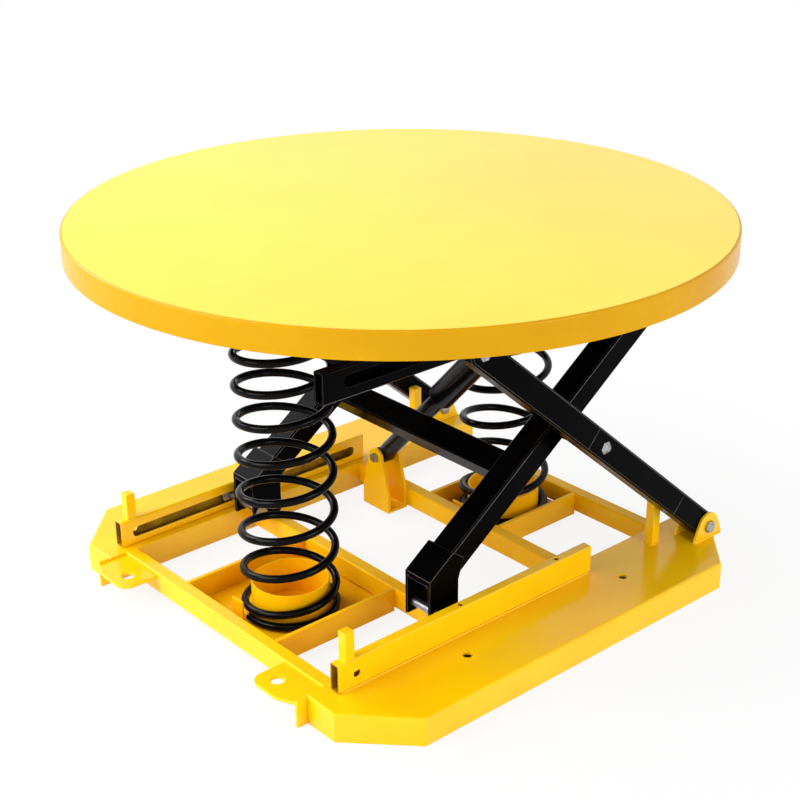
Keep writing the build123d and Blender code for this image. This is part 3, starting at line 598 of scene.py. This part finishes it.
# A tube made from a flat grid: place(u, turn) gives each point of it, and its ends close by merging
def wrapGrid(steps, sides, place):
    bpy.ops.object.select_all(action="DESELECT")
    bpy.ops.mesh.primitive_grid_add(x_subdivisions=steps, y_subdivisions=sides, size=1)
    tube = bpy.context.object
    for vertex in tube.data.vertices:
        vertex.co = place(vertex.co.x + 0.5, (vertex.co.y + 0.5) * 2 * math.pi) * mm
    onlySelect(tube)
    bpy.ops.object.mode_set(mode="EDIT")
    bpy.ops.mesh.select_all(action="SELECT")
    bpy.ops.mesh.remove_doubles(threshold=welds["merge"] * mm)
    bpy.ops.mesh.normals_make_consistent(inside=False)
    bpy.ops.object.mode_set(mode="OBJECT")
    bpy.ops.object.shade_smooth()
    return tube


def lineBead(start, end, bead):
    start, end = Vector(start), Vector(end)
    length = (end - start).length
    along = (end - start).normalized()
    side = along.orthogonal().normalized()
    other = along.cross(side)

    def place(u, turn):
        fromEnd = min(u, 1 - u) * length / (bead * welds["endShare"])
        taper = math.sqrt(max(0.0, 1 - (1 - min(1.0, fromEnd)) ** 2))
        wave = 1 + welds["rippleDepth"] * math.sin(2 * math.pi * u * length / welds["ripple"])
        out = side * math.cos(turn) + other * math.sin(turn)
        return start + along * length * u + out * bead * taper * wave

    steps = round(length / welds["ripple"] * welds["rippleSteps"])
    return wrapGrid(max(welds["fewestSteps"], steps), welds["sides"], place)


def ringBead(centre, radius, bead):
    length = 2 * math.pi * radius
    ripples = round(length / welds["ripple"])

    def place(u, turn):
        angle = 2 * math.pi * u
        reach = bead * (1 + welds["rippleDepth"] * math.sin(angle * ripples))
        out = Vector((math.cos(angle), math.sin(angle), 0))
        lift = Vector((0, 0, reach * math.sin(turn)))
        return Vector(centre) + out * (radius + reach * math.cos(turn)) + lift

    return wrapGrid(ripples * welds["rippleSteps"], welds["sides"], place)


def squareBead(x, y, z, half, bead):
    corners = [(x - half, y - half, z), (x + half, y - half, z),
               (x + half, y + half, z), (x - half, y + half, z)]
    return [lineBead(corners[i], corners[(i + 1) % 4], bead) for i in range(4)]


def joinBeads(beads, name, finish, body):
    onlySelect(beads[0])
    for bead in beads:
        bead.select_set(True)
    bpy.ops.object.join()
    paint(bpy.context.object, finish)
    return settle(bpy.context.object, name, body)


def makeWelds(size):
    rail, lug, cup, ear, seam = (size[key] for key in ("rail", "lug", "cup", "ear", "seam"))
    for sideName, side in (("right", -1), ("left", 1)):
        railEnds = [(x, side * rail["y"], rail["z"]) for x in rail["x"]]
        beads = [lineBead(*railEnds, rail["bead"])]
        for post in (size["frontPost"], size["rearPost"]):
            beads += squareBead(post["x"], side * post["y"], post["z"], post["half"], post["bead"])
        lugEnds = [(lug["x"], side * y, lug["z"]) for y in lug["y"]]
        beads.append(lineBead(*lugEnds, lug["bead"]))
        for y in ear["y"]:
            earEnds = [(x, side * y, ear["z"]) for x in ear["x"]]
            beads.append(lineBead(*earEnds, ear["bead"]))
        joinBeads(beads, f"base_welds_{sideName}", "yellowEnamel", "base")
        seams = [lineBead((a[0], side * seam["y"], a[1]), (b[0], side * seam["y"], b[1]), seam["bead"])
                 for a, b in seam["lines"]]
        joinBeads(seams, f"leg_seams_{sideName}", "seamPaint", f"outer_leg_{sideName}")
    # The cups' welds take the cups' orange copy of the yellow: painted shade
    cups = [ringBead((x, y, cup["z"]), cup["radius"], cup["bead"]) for x, y in springs["places"].values()]
    joinBeads(cups, "cup_welds", "amberEnamelPaintedShade", "base")


makeWelds(welds)
print("welds laid")

# Camera, light and floor

cameraData = bpy.data.cameras.new("camera")
cameraData.lens = camera["lens"]
cameraData.sensor_width = camera["sensor"]
cameraData.clip_end = camera["reach"]
eye = bpy.data.objects.new("camera", cameraData)
eye.location = camera["location"]
eye.rotation_euler = [math.radians(a) for a in camera["turn"]]
bpy.context.scene.collection.objects.link(eye)
bpy.context.scene.camera = eye


# 1 where the camera, a reflection or a look through glass meets the white, 0 where it lights the object
def straightSight(tree):
    path = addNode(tree, "ShaderNodeLightPath")
    direct = addNode(tree, "ShaderNodeMath", {"operation": "MAXIMUM"},
                     {0: (path, "Is Camera Ray"), 1: (path, "Is Glossy Ray")})
    return addNode(tree, "ShaderNodeMath", {"operation": "MAXIMUM"},
                   {0: (direct, 0), 1: (path, "Is Transmission Ray")})


def makeStudio(setup):
    world = bpy.data.worlds.new("studio")
    world.use_nodes = True
    tree = world.node_tree
    tree.nodes.clear()
    seen = straightSight(tree)
    place = addNode(tree, "ShaderNodeTexCoord")
    split = addNode(tree, "ShaderNodeSeparateXYZ", {}, {0: (place, "Generated")})
    tent = addNode(tree, "ShaderNodeMapRange",
                   {"interpolation_type": "SMOOTHSTEP", "From Max": setup["lowSkyTop"],
                    "To Min": setup["lowSky"], "To Max": setup["overheadSky"]}, {"Value": (split, "Z")})
    strength = addNode(tree, "ShaderNodeMix", {"data_type": "FLOAT", 3: 1.0}, {0: (seen, 0), 2: (tent, 0)})
    sky = addNode(tree, "ShaderNodeBackground", {"Color": (1, 1, 1, 1)}, {"Strength": (strength, 0)})
    addNode(tree, "ShaderNodeOutputWorld", links={"Surface": (sky, 0)})
    bpy.context.scene.world = world

    for name, lamp in setup["lamps"].items():
        data = bpy.data.lights.new(name, "AREA")
        data.shape = "DISK"
        data.size = lamp["size"]
        data.energy = lamp["watts"]
        light = bpy.data.objects.new(name, data)
        light.location = lamp["place"]
        aim = Vector(setup["aim"]) - light.location
        light.rotation_euler = aim.to_track_quat("-Z", "Y").to_euler()
        bpy.context.scene.collection.objects.link(light)

    bpy.ops.mesh.primitive_plane_add(size=setup["floorSize"], location=(0, 0, setup["floorLevel"]))
    floor = bpy.context.object
    floor.name = "floor"
    material, tree = newMaterial("paperSweep")   # matt paper, fading to pure white away from the table
    place = addNode(tree, "ShaderNodeTexCoord")
    away = addNode(tree, "ShaderNodeVectorMath", {"operation": "LENGTH"}, {0: (place, "Object")})
    fade = addNode(tree, "ShaderNodeMapRange",
                   {"interpolation_type": "SMOOTHSTEP",
                    "From Min": setup["whiteStart"], "From Max": setup["whiteEnd"]},
                   {"Value": (away, "Value")})
    seen = straightSight(tree)
    paler = addNode(tree, "ShaderNodeMapRange",
                    {"To Min": setup["shadowShare"], "To Max": 1.0}, {"Value": (fade, 0)})
    side = addNode(tree, "ShaderNodeSeparateXYZ", {}, {0: (place, "Object")})
    alongX = addNode(tree, "ShaderNodeMath", {"operation": "ABSOLUTE"}, {0: (side, "X")})
    acrossY = addNode(tree, "ShaderNodeMath", {"operation": "ABSOLUTE"}, {0: (side, "Y")})
    inLength = addNode(tree, "ShaderNodeMath",
                       {"operation": "LESS_THAN", 1: setup["coverX"]}, {0: (alongX, 0)})
    inWidth = addNode(tree, "ShaderNodeMath",
                      {"operation": "COMPARE", 1: setup["coverY"], 2: setup["coverHalf"]},
                      {0: (acrossY, 0)})
    covered = addNode(tree, "ShaderNodeMath", {"operation": "MULTIPLY"}, {0: (inLength, 0), 1: (inWidth, 0)})
    bare = addNode(tree, "ShaderNodeMath", {"operation": "SUBTRACT", 0: 1.0}, {1: (covered, 0)})
    palerBare = addNode(tree, "ShaderNodeMath", {"operation": "MULTIPLY"}, {0: (paler, 0), 1: (bare, 0)})
    factor = addNode(tree, "ShaderNodeMath", {"operation": "MULTIPLY"}, {0: (palerBare, 0), 1: (seen, 0)})
    matt = addNode(tree, "ShaderNodeBsdfDiffuse", {"Color": toLinear(setup["floorShade"])})
    glow = addNode(tree, "ShaderNodeEmission", {"Color": (1, 1, 1, 1), "Strength": 1.0})
    mix = addNode(tree, "ShaderNodeMixShader", {}, {0: (factor, 0), 1: (matt, 0), 2: (glow, 0)})
    addNode(tree, "ShaderNodeOutputMaterial", links={"Surface": (mix, 0)})
    floor.data.materials.append(material)


makeStudio(studio)
bpy.context.scene.view_settings.view_transform = "Standard"
print("studio set")
